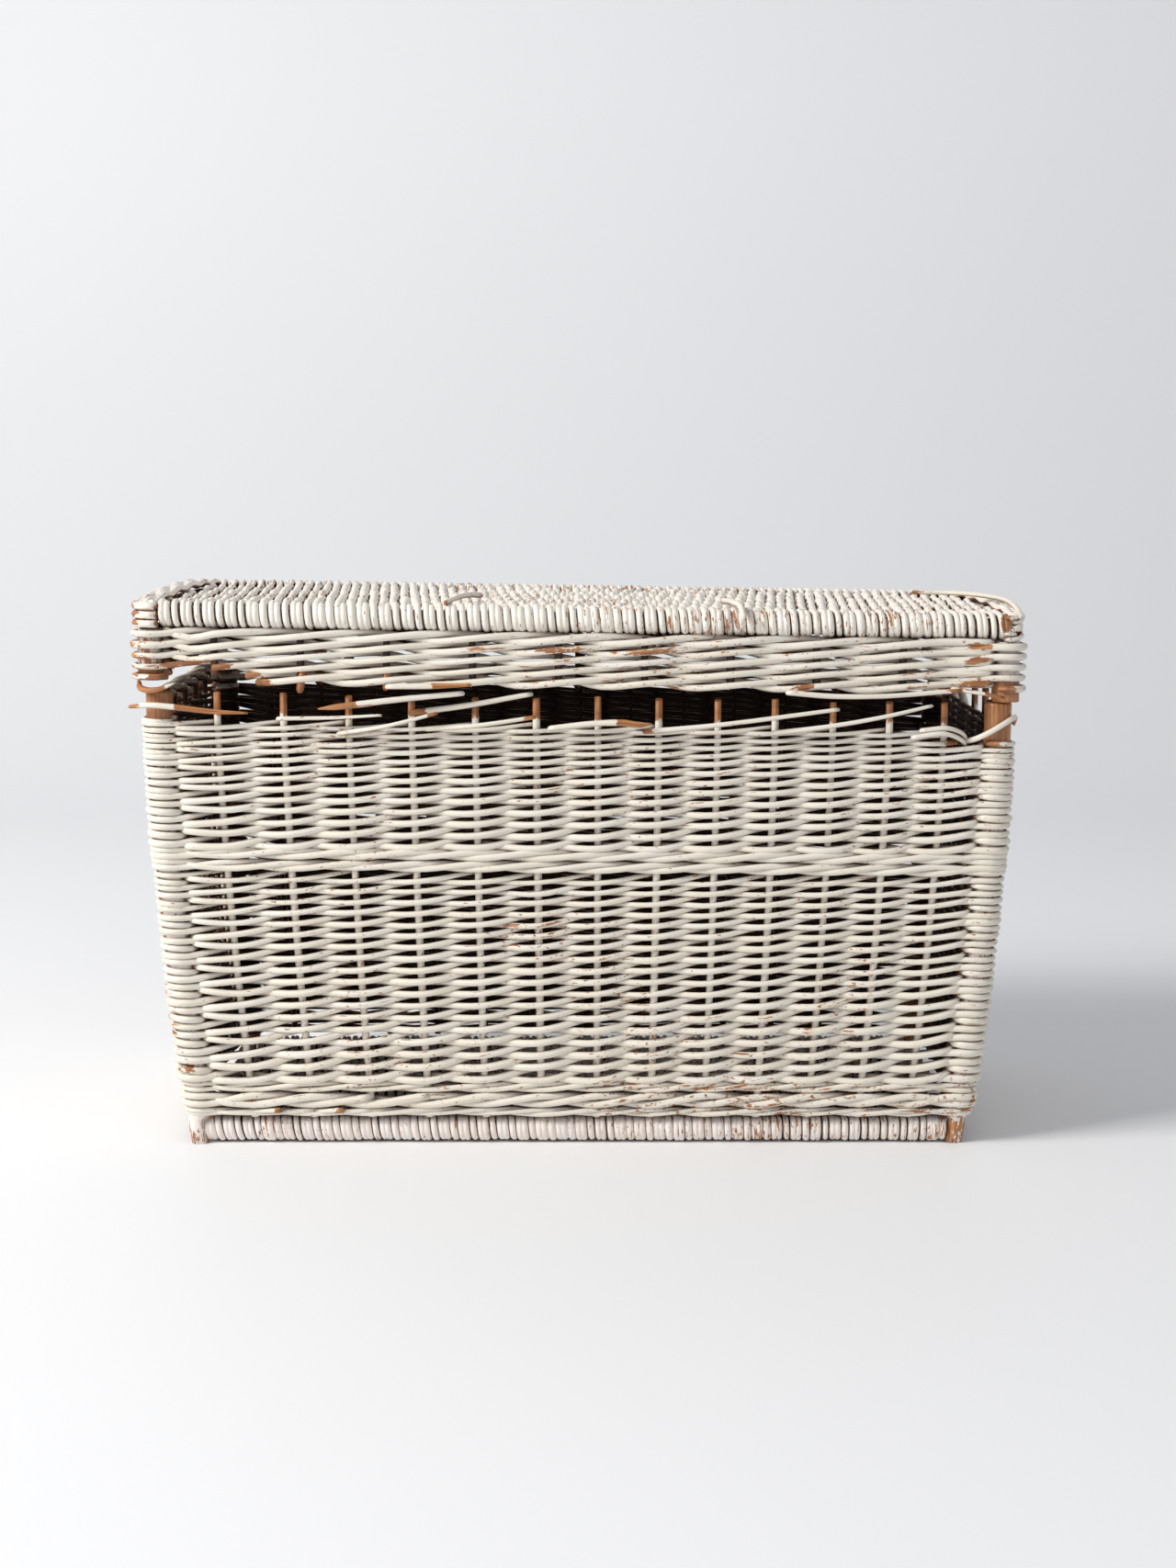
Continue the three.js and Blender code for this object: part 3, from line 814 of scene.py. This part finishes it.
# Each loose rod: its points, its radii evenly along it, and the length torn bare at each end. The body's lie
# in front of the broken rim, and two stick out of the bottom wale.
BODY_LOOSE = [
    ([(-186, -167, 327), (-174, -168, 328.5), (-158, -168, 330.5), (-140, -168, 333), (-84, -165, 339)],
     (0.7, 2.3, 2.5, 2.3, 2.0), (26, 0)),
    ([(-120, -158, 324), (-80, -160, 330), (-35, -158, 338.5)], (2.4, 1.9), (10, 0)),
    ([(-215, -166, 319.5), (-170, -167, 321), (-142, -168, 323)], (1.6, 1.0), (0, 0)),
    ([(-172, -161, 309), (-140, -170, 315), (-102, -171, 325)], (1.8, 1.3), (0, 5)),
    ([(-108, -163, 313), (-70, -170, 317), (-32, -169, 323)], (1.9, 1.5), (0, 5)),
    ([(-20, -166, 315), (14, -167, 319), (32, -168, 319.6), (44, -169, 318.5), (52, -170, 319.5)],
     (2.0, 2.2, 2.6, 2.2, 0.6), (0, 24)),
    ([(48, -163, 313), (100, -169, 319), (150, -169, 326), (185, -167, 331)], (1.9, 1.5), (4, 0)),
    ([(140, -163, 313), (185, -170, 320), (225, -170, 328), (252, -167, 334.5)], (1.9, 1.6, 1.3), (0, 0)),
    ([(-322, -158, 326), (-308, -166, 328), (-290, -168, 327), (-262, -167, 324), (-238, -164, 323)],
     (1.4, 2.2, 2.3, 1.9, 0.8), (5, 50)),
    ([(278, -153, 307), (286, -159, 310), (295, -161.8, 315), (304, -161.6, 320.5), (312, -157.5, 325),
      (315.6, -149, 325), (315, -142, 319.5)], (2.2, 2.0), (0, 4)),
    ([(-264, -158, 25.5), (-251, -162, 26.5), (-239, -164, 27.5)], (1.8, 2.1), (0, 3)),
    ([(-214, -158, 25.5), (-201, -162, 26.5), (-189, -164, 27.5)], (1.8, 2.1), (0, 3)),
    ([(246, -166, 316.5), (266, -165, 318), (277, -158, 313), (281, -148, 305)], (1.9, 1.7), (0, 4)),
    ([(240, -167, 311.5), (264, -166, 314), (277, -159, 308), (281, -149, 300)], (1.9, 1.7), (0, 4)),
]
# The lid's hang from its wall, or have come up on its top.
LID_LOOSE = [
    ([(-198, -161, 352), (-199, -162, 347), (-199.6, -162, 341)], (2.9, 2.9), (0, 20)),
    ([(-137, -161, 354), (-137.6, -162, 349), (-138, -162, 343.5)], (2.8, 2.8), (0, 20)),
    ([(-136, -168, 343.5), (-106, -169, 344.4), (-78, -168, 345.4)], (2.0, 2.4, 2.2, 1.2), (0, 26)),
    ([(150, -169, 343), (180, -169, 340.8), (210, -169, 341), (272, -168, 346)], (2.1, 1.7), (0, 5)),
    ([(268, -166, 347), (286, -169, 344.5), (303, -168, 341.5)], (1.7, 1.3), (0, 12)),
    ([(-318, -146, 342.5), (-315, -158, 339.5), (-306, -166, 338.5), (-297, -168, 340.5), (-289, -168, 344)],
     (1.6, 2.4, 2.2, 1.6, 0.7), (34, 0)),
    ([(-96, -160, 403), (-88, -140, 406), (-80, -110, 406.5), (-74, -84, 405)], (1.6, 2.3), (1, 0)),
    ([(106, -120, 405.5), (112, -150, 405.5), (116, -166, 403), (118, -170.5, 395)], (2.4, 2.4), (0, 0)),
    ([(258, -20, 409), (284, -30, 409.5), (310, -70, 409), (318.5, -120, 405), (320, -146, 398)],
     (1.6, 2.2), (3, 0)),
]


def loose_rods(ways, half):
    """Single rods that have come out of the weaving."""
    rods = Rods(half)
    for points, radii, bare in ways:
        share = np.linspace(0, 1, len(points))
        radii = np.interp(share, np.linspace(0, 1, len(radii)), radii)
        path, radius = smooth_path(points, radii, 3)
        out = np.array([0.0, -0.8, 0.6])
        rods.add(path, radius[:, 0], sides=10, bare=bare, out=out, fresh=0.8, cuts=(1.2, 1.2))
    return rods


def hinge_loops():
    """Turns of thin willow at each loop, round the hinge rod and through the border."""
    rods = Rods(RIM)
    ring = HINGE_ROD_RADIUS + LOOP_CLEARANCE + LOOP_RADIUS
    lean = math.degrees(math.atan2(HINGE_Y - LOOP_FOOT[0], HINGE_Z - LOOP_FOOT[1]))
    upper = [(HINGE_Y, HINGE_Z, angle - lean) for angle in np.arange(0, 181, 30)]
    lower = [(*LOOP_FOOT, angle - lean) for angle in np.arange(180, 361, 30)]
    turn = [
        (y + ring * math.cos(math.radians(a)), z + ring * math.sin(math.radians(a)))
        for y, z, a in upper + lower
    ]
    for middle in LOOP_PLACES:
        all_turns = turn * LOOP_TURNS
        x = np.linspace(-LOOP_HALF_WIDTH, LOOP_HALF_WIDTH, len(all_turns)) + middle
        points = [(along, y, z) for along, (y, z) in zip(x, all_turns)]
        path, radius = smooth_path(points, np.full(len(points), LOOP_RADIUS), 5)
        rods.add(path, radius[:, 0], out=(0, 0.9, 0.4))
    return rods


def hinge_rod():
    """The lid's lowest back rod, which the loops hold."""
    rods = Rods(LID)
    x = np.linspace(-HINGE_ROD_HALF, HINGE_ROD_HALF, 50)
    path = np.column_stack([x, np.full(50, HINGE_Y), np.full(50, HINGE_Z)])
    rods.add(path, np.full(50, HINGE_ROD_RADIUS), sides=12, out=(0, 1, 0))
    return rods


# --- materials


class Nodes:
    """Short ways to add shader nodes."""

    def __init__(self, tree):
        self.tree = tree

    def wire(self, socket, value):
        if isinstance(value, bpy.types.NodeSocket):
            self.tree.links.new(value, socket)
        else:
            socket.default_value = value

    def attribute(self, name, output="Fac"):
        node = self.tree.nodes.new("ShaderNodeAttribute")
        node.attribute_name = name
        return node.outputs[output]

    def where(self):
        return self.tree.nodes.new("ShaderNodeTexCoord").outputs["Object"]

    def noise(self, vector, stretch, detail, roughness=0.5):
        """Noise with its own number of features per metre along each axis."""
        scaled = self.tree.nodes.new("ShaderNodeVectorMath")
        scaled.operation = "MULTIPLY"
        self.wire(scaled.inputs[0], vector)
        scaled.inputs[1].default_value = stretch
        node = self.tree.nodes.new("ShaderNodeTexNoise")
        self.wire(node.inputs["Vector"], scaled.outputs[0])
        node.inputs["Scale"].default_value = 1.0
        node.inputs["Detail"].default_value = detail
        node.inputs["Roughness"].default_value = roughness
        return node.outputs["Fac"]

    def maths(self, operation, *values):
        node = self.tree.nodes.new("ShaderNodeMath")
        node.operation = operation
        for socket, value in zip(node.inputs, values):
            self.wire(socket, value)
        return node.outputs[0]

    def total(self, first, *terms):
        """first plus each (value, weight), every value taken about its middle, 0.5."""
        result = first
        for value, weight in terms:
            shifted = self.maths("SUBTRACT", value, 0.5)
            result = self.maths("MULTIPLY_ADD", shifted, weight, result)
        return result

    def ramp(self, value, low, high, to_low=0.0, to_high=1.0):
        node = self.tree.nodes.new("ShaderNodeMapRange")
        node.interpolation_type = "SMOOTHSTEP"
        self.wire(node.inputs["Value"], value)
        node.inputs["From Min"].default_value = low
        node.inputs["From Max"].default_value = high
        node.inputs["To Min"].default_value = to_low
        node.inputs["To Max"].default_value = to_high
        return node.outputs["Result"]

    def mix(self, factor, a, b, kind="MIX"):
        node = self.tree.nodes.new("ShaderNodeMix")
        node.data_type = "RGBA"
        node.blend_type = kind
        self.wire(node.inputs[0], factor)
        self.wire(node.inputs[6], a)
        self.wire(node.inputs[7], b)
        return node.outputs[2]


def times(colour, red, green, blue):
    return (colour[0] * red, colour[1] * green, colour[2] * blue, 1)


# Colours on the paint and under it.
SOIL_SPECK = (0.24, 0.12, 0.07, 1)
# The crevices' brown is dirt and painted shade in one.
CREVICE_DIRT_AND_SHADE = (0.22, 0.135, 0.10, 1)
CHIP_EDGE = (0.42, 0.27, 0.18, 1)
DARK_BARK = (0.26, 0.09, 0.028, 1)
LIGHT_BARK = (0.57, 0.245, 0.08, 1)
DULL_BARK = (0.26, 0.12, 0.065, 1)
# The inside's colour is unpainted wood darkened to near black as painted shade.
INSIDE_WOOD_AND_SHADE = (0.032, 0.018, 0.012, 1)

# Each noise's features per metre, along a rod and twice across it.
SMALL_FLAKES = (190, 430, 430)
LONG_FLAKES = (45, 330, 330)
SPECKS = (700, 900, 900)
STREAKS = (22, 620, 620)
GRAIN = (60, 600, 600)

# The same along X, Y and Z.
WORN_ZONES = (9, 9, 12)
CLOUDS = (26, 26, 32)


def painted_willow(name, cream, wear, gloss):
    """Old cream paint over brown willow. wear is how much of the paint has chipped off, from 0 to 1.

    cream is the paint's colour, and gloss how far the surface is from matt.
    """
    material = bpy.data.materials.new(name)
    material.use_nodes = True
    shader = material.node_tree.nodes["Principled BSDF"]
    nodes = Nodes(material.node_tree)
    place = nodes.attribute("rod_place", "Vector")
    paint = nodes.attribute("paint")
    fresh = nodes.attribute("fresh")
    clean_lit_share = nodes.attribute("clean_lit")
    tone = nodes.attribute("tone")
    where = nodes.where()

    small_flakes = nodes.noise(place, SMALL_FLAKES, 3, 0.6)
    long_flakes = nodes.noise(place, LONG_FLAKES, 4, 0.6)
    zones = nodes.noise(where, WORN_ZONES, 3)
    specks = nodes.noise(place, SPECKS, 2)
    streaks = nodes.noise(place, STREAKS, 4)
    grain = nodes.noise(place, GRAIN, 3)
    clouds = nodes.noise(where, CLOUDS, 3)

    flakes = nodes.maths("MAXIMUM", small_flakes, nodes.maths("SUBTRACT", long_flakes, 0.012))
    unpainted = nodes.maths("MULTIPLY", nodes.maths("SUBTRACT", 1.0, paint), 0.62)
    lost = nodes.total(flakes, (zones, 0.42), (specks, 0.12))
    lost = nodes.maths("ADD", lost, unpainted)
    limit = 0.74 - 0.2 * wear
    chipped = nodes.ramp(lost, limit, limit + 0.02)
    chip_edge = nodes.ramp(lost, limit - 0.03, limit)

    light = nodes.mix(nodes.ramp(clouds, 0.3, 0.7), cream, times(cream, 0.95, 0.94, 0.93))
    toned = nodes.mix(nodes.ramp(tone, 0.0, 1.0, 0.0, 0.5), light, times(cream, 0.95, 0.91, 0.83))
    fine = nodes.mix(nodes.ramp(streaks, 0.35, 0.75, 0.0, 0.35), toned, times(cream, 0.82, 0.78, 0.72))
    pepper = nodes.mix(nodes.ramp(specks, 0.7, 0.76, 0.0, 0.7), fine, SOIL_SPECK)
    # Crevices between and behind the rods are darkened with dirt and with painted shade.
    shade_and_dirt_share = nodes.ramp(clean_lit_share, 0.0, 0.75, 0.9, 0.0)
    dirt_and_shade = nodes.maths("MULTIPLY", shade_and_dirt_share, nodes.ramp(grain, 0.1, 0.6, 0.5, 1))
    dirty_and_shaded = nodes.mix(dirt_and_shade, pepper, CREVICE_DIRT_AND_SHADE)
    edged = nodes.mix(nodes.maths("MULTIPLY", chip_edge, 0.45), dirty_and_shaded, CHIP_EDGE)
    bark = nodes.mix(nodes.ramp(streaks, 0.3, 0.7), DARK_BARK, LIGHT_BARK)
    bark = nodes.mix(nodes.ramp(clouds, 0.35, 0.7, 0.0, 0.55), bark, DULL_BARK)
    # Where paint never reached and the bark is not fresh, the wood takes the near-black painted shade of the
    # inside.
    exposed = nodes.maths("MAXIMUM", nodes.ramp(paint, 0.05, 0.5), fresh)
    wood = nodes.mix(exposed, INSIDE_WOOD_AND_SHADE, bark)
    colour = nodes.mix(chipped, edged, wood)
    nodes.wire(shader.inputs["Base Color"], colour)

    rough = nodes.total(nodes.ramp(chipped, 0, 1, 0.5 - gloss, 0.62 - gloss), (specks, 0.2))
    nodes.wire(shader.inputs["Roughness"], rough)
    shader.inputs["Coat Weight"].default_value = gloss
    shader.inputs["Coat Roughness"].default_value = 0.22
    chip_depth = nodes.maths("MULTIPLY", chipped, -0.6)
    height = nodes.total(chip_depth, (streaks, 0.4), (specks, 0.25), (grain, 0.5))
    bump = material.node_tree.nodes.new("ShaderNodeBump")
    bump.inputs["Strength"].default_value = 0.6
    bump.inputs["Distance"].default_value = 0.0004
    nodes.wire(bump.inputs["Height"], height)
    nodes.wire(shader.inputs["Normal"], bump.outputs["Normal"])
    return material


CREAM = (0.83, 0.785, 0.70, 1)
# The lid's top is whiter and cooler: partly its own paint, partly painted light from above.
WHITER_AND_LIT = (0.90, 0.86, 0.79, 1)
# The base's paint is paler and pinker: partly its own worn colour, partly painted light that lifts the shade
# under the walls.
PALE_AND_LIT = (0.92, 0.85, 0.81, 1)
cream_rods = painted_willow("painted_willow", CREAM, 0.28, 0.05)
handled_rods = painted_willow("handled_painted_willow", CREAM, 0.43, 0.05)
panel_rods = painted_willow("panel_painted_willow", WHITER_AND_LIT, 0.5, 0.05)
worn_rods = painted_willow("worn_painted_willow", PALE_AND_LIT, 0.47, 0.0)
bare_rods = painted_willow("bare_willow", PALE_AND_LIT, 0.45, 0.3)


# --- the basket


def nodes_named(start):
    return [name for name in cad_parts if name.startswith(start)]


def body_tops(i):
    """A body stake's top and its bare length: the front's and three more are broken off above the rim."""
    if 0 < i < FRONT_RIGHT or FRONT_RIGHT < i < BORDER_FIRST:
        return STUB_TOP + random.normal(0, 1.0), 12.0 + random.uniform(-3, 3)
    return RIM_TOP, 0


def lid_tops(_):
    return LID_WALL_TOP - 2, 0


# How far the weaving of the base and of the lid's top reaches along X.
BASE_WEAVING = (-306.5, 298)
LID_WEAVING = (-304, 316)

# The posts' ends, the body's in front and at the back, and how much of the lid's front left post is torn off.
BODY_POST_TOPS = (337, 333)
LID_FRONT_POST_FOOT = 337.3
LID_BACK_POST_FOOT = 340
LID_POST_TOP = 381.7
LID_POST_TORN = 12

# Half the length of the base's two outer sticks and of its inner ones, and of all the lid's.
BASE_STICKS = (292, 309)
LID_STICK = LID[0] - 8

BODY, COVER = "basket_body", "lid"
PAINTED, WORN, BARE = "painted_willow", "worn_painted_willow", "bare_willow"

siding(BODY_PLACES, RIM, BOTTOM_WALE_TOP, LOWER_TOP, **LOWER_SIDING).build(
    "lower_siding_rods", cream_rods, BODY, PAINTED, ["lower_siding"])
siding(BODY_PLACES, RIM, MIDDLE_WALE_TOP, RIM_TOP, **UPPER_SIDING, gone=gone_from_rim).build(
    "upper_siding_rods", cream_rods, BODY, PAINTED, ["upper_siding"])
wale(BODY_PLACES, RIM, BASE_TOP + 1, BOTTOM_WALE, strands=3, start=1).build(
    "bottom_wale_rods", handled_rods, BODY, PAINTED, ["bottom_wale"])
wale(BODY_PLACES, RIM, LOWER_TOP, MIDDLE_WALE, strands=3).build(
    "middle_wale_rods", cream_rods, BODY, PAINTED, ["middle_wale"])
border(BODY_PLACES, RIM, RIM_TOP).build("border_rods", handled_rods, BODY, PAINTED, ["border"])
stakes(BODY_PLACES, RIM, BASE_TOP, body_tops).build(
    "stakes", cream_rods, BODY, BARE, nodes_named("stake_"))
posts(BODY_PLACES, RIM, 0.0, *BODY_POST_TOPS, foot=True).build(
    "corner_posts", bare_rods, BODY, BARE, nodes_named("corner_post_"))
panel(BASE_HALF_DEPTH, BASE_MIDDLE, *BASE_WEAVING).build(
    "base_weaving", worn_rods, BODY, WORN, ["base_weave"])
straight_sticks(BASE_HALF_DEPTH, BASE_MIDDLE, *BASE_STICKS).build(
    "base_sticks", bare_rods, BODY, BARE, nodes_named("base_stick_"))
hinge_loops().build("hinge_loops", cream_rods, BODY, PAINTED, nodes_named("hinge_loop_"))
loose_rods(BODY_LOOSE, RIM).build("loose_body_rods", cream_rods, BODY, PAINTED)

wale(LID_PLACES, LID, LID_BOTTOM, LID_WALE, strands=2, gone=gone_from_lid).build(
    "lid_wale_rods", handled_rods, COVER, PAINTED, ["lid_wale"])
# The lid's stakes are left unpainted, so they take the near-black painted shade of the inside and look like
# gaps.
stakes(LID_PLACES, LID, LID_BOTTOM + 3, lid_tops, paint=0.0).build(
    "lid_stakes", cream_rods, COVER, PAINTED)
posts(LID_PLACES, LID, LID_FRONT_POST_FOOT, LID_POST_TOP, None, torn_left=LID_POST_TORN).build(
    "lid_front_posts", bare_rods, COVER, BARE, nodes_named("lid_post_front"))
posts(LID_PLACES, LID, LID_BACK_POST_FOOT, None, LID_POST_TOP).build(
    "lid_back_posts", bare_rods, COVER, BARE, nodes_named("lid_post_back"))
panel(LID[1], LID_MIDDLE, *LID_WEAVING).build("lid_weaving", panel_rods, COVER, PAINTED, ["lid_weave"])
straight_sticks(LID[1], LID_MIDDLE, LID_STICK, LID_STICK).build(
    "lid_sticks", bare_rods, COVER, BARE, nodes_named("lid_stick_"))
lid_end_rods().build("lid_end_rods", panel_rods, COVER, PAINTED)
hinge_rod().build("hinge_rod", cream_rods, COVER, PAINTED, ["lid_hinge_rod"])
loose_rods(LID_LOOSE, LID).build("loose_lid_rods", cream_rods, COVER, PAINTED)


# --- camera, floor and light

FLOOR_COLOUR = (0.897, 0.902, 0.915, 1)
FLOOR_ROUGHNESS = 0.6
FLOOR_FRONT, FLOOR_BACK, BACKDROP_TOP = -4.0, 1.6, 5.0
FLOOR_HALF_WIDTH = 6.0
BACKDROP_CURVE = 1.2

# Each light's name, place, target, size, power and colour.
LIGHTS = (
    ("window", (-2.9, -1.55, 2.4), (0, 0, 0.25), 1.5, 146, (1, 0.985, 0.955)),
    ("fill", (2.6, -2.4, 1.8), (0, 0, 0.2), 2.5, 10, (0.93, 0.96, 1)),
)
STUDIO_COLOUR = (0.93, 0.95, 1.0, 1)
STUDIO_STRENGTH = 0.4

CAMERA_PLACE = (0.0066, -1.9115, 0.503)
CAMERA_DOWN = 7.445
FOCAL_LENGTH = 56.2
SENSOR_WIDTH = 36


def sweep_floor():
    """A floor that curves up into a backdrop."""
    profile = [(FLOOR_FRONT, 0.0), (FLOOR_BACK, 0.0)]
    for a in np.radians(np.arange(6, 91, 6)):
        y = FLOOR_BACK + BACKDROP_CURVE * math.sin(a)
        z = BACKDROP_CURVE - BACKDROP_CURVE * math.cos(a)
        profile.append((y, z))
    profile.append((FLOOR_BACK + BACKDROP_CURVE, BACKDROP_TOP))
    vertices, faces = [], []
    for y, z in profile:
        vertices += [(-FLOOR_HALF_WIDTH, y, z), (FLOOR_HALF_WIDTH, y, z)]
    for i in range(0, 2 * len(profile) - 2, 2):
        faces.append((i, i + 1, i + 3, i + 2))
    mesh = bpy.data.meshes.new("floor")
    mesh.from_pydata(vertices, [], faces)
    for polygon in mesh.polygons:
        polygon.use_smooth = True
    material = bpy.data.materials.new("floor")
    material.use_nodes = True
    shader = material.node_tree.nodes["Principled BSDF"]
    shader.inputs["Base Color"].default_value = FLOOR_COLOUR
    shader.inputs["Roughness"].default_value = FLOOR_ROUGHNESS
    mesh.materials.append(material)
    floor = bpy.data.objects.new("floor", mesh)
    bpy.context.scene.collection.objects.link(floor)


def area_light(name, place, target, size, power, colour):
    light = bpy.data.lights.new(name, "AREA")
    light.energy = power
    light.size = size
    light.color = colour
    lamp = bpy.data.objects.new(name, light)
    lamp.location = place
    direction = np.array(target) - np.array(place)
    lamp.rotation_euler = Vector(direction).to_track_quat("-Z", "Y").to_euler()
    bpy.context.scene.collection.objects.link(lamp)


sweep_floor()
for light in LIGHTS:
    area_light(*light)
world = bpy.data.worlds.new("studio")
world.use_nodes = True
world.node_tree.nodes["Background"].inputs["Color"].default_value = STUDIO_COLOUR
world.node_tree.nodes["Background"].inputs["Strength"].default_value = STUDIO_STRENGTH
bpy.context.scene.world = world
bpy.context.scene.view_settings.view_transform = "Standard"

lens = bpy.data.cameras.new("camera")
lens.lens = FOCAL_LENGTH
lens.sensor_width = SENSOR_WIDTH
camera = bpy.data.objects.new("camera", lens)
camera.location = CAMERA_PLACE
camera.rotation_euler = (math.radians(90 - CAMERA_DOWN), 0, 0)
bpy.context.scene.collection.objects.link(camera)
bpy.context.scene.camera = camera
